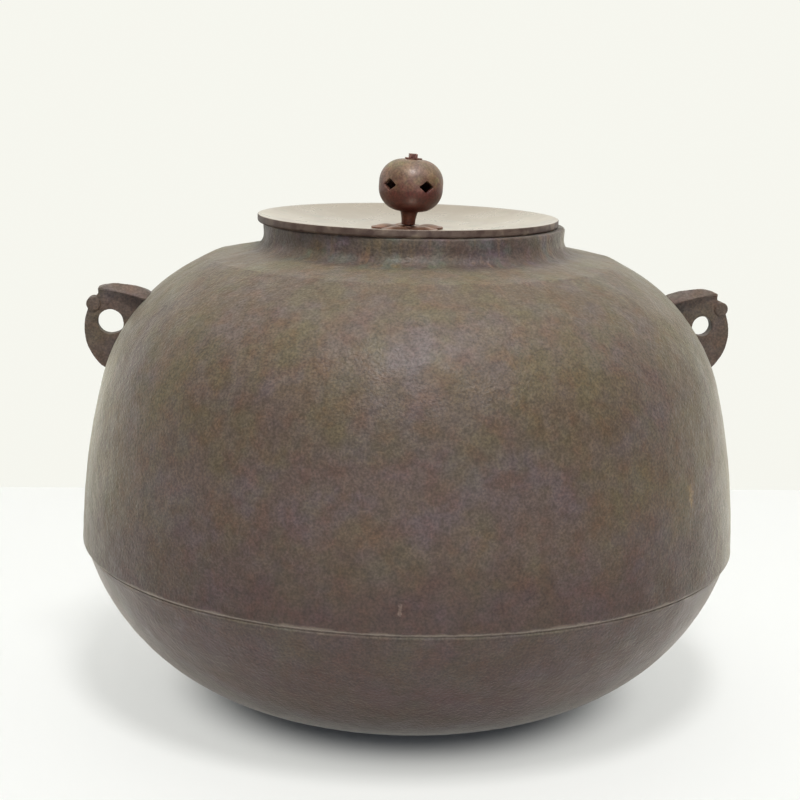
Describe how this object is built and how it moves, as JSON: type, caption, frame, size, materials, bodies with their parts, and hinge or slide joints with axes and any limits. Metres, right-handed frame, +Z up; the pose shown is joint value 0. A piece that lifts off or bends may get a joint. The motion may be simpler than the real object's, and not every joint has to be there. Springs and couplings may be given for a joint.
{
  "type": "kettle",
  "caption": "Wide cast-iron tea kettle with a let-in bottom pan, short neck, pierced side lugs, scooped bronze lid and a pierced fruit-shaped knob that turns on its pin.",
  "frame": {"origin": "centre of the flat base", "axes": "+Z up, the lugs on the X axis, -Y towards the viewer of the picture"},
  "size_m": [0.266, 0.266, 0.2204],
  "materials": {
    "body_iron": "fine sandy cast skin, brown patina",
    "pan_iron": "cast skin, greyer and smoother",
    "lug_iron": "dark reddish-brown cast skin",
    "lacquer": "matte, cured paste",
    "lid_bronze": "satin, grey-brown patina",
    "petal_copper": "satin copper-brown patina",
    "fruit_bronze": "polished reddish-brown patina"
  },
  "bodies": {
    "kettle": {"upper_body": "body_iron", "bottom_pan": "pan_iron", "seam_lacquer": "lacquer", "left_lug": "lug_iron", "right_lug": "lug_iron", "sound_plate_1": "pan_iron", "sound_plate_2": "pan_iron", "sound_plate_3": "pan_iron", "sound_plate_4": "pan_iron", "sound_plate_5": "pan_iron", "lacquer_pad_1": "lacquer", "lacquer_pad_2": "lacquer", "lacquer_pad_3": "lacquer", "lacquer_pad_4": "lacquer", "lacquer_pad_5": "lacquer"},
    "lid": {"lid": "lid_bronze", "flower_washer": "petal_copper"},
    "knob": {"knob_shell": "fruit_bronze", "calyx_washer": "petal_copper", "knob_pin": "petal_copper", "under_washer": "petal_copper"}
  },
  "joints": [
    {"name": "lid_lift", "type": "slide", "parent": "kettle", "child": "lid", "axis": [0, 0, 1], "range_m": [0, 0.12]},
    {"name": "knob_turn", "type": "hinge", "parent": "lid", "child": "knob", "pos_m": [-0.0025, 0, 0.19021], "axis": [0.0506, 0, 0.9987], "continuous": true}
  ]
}
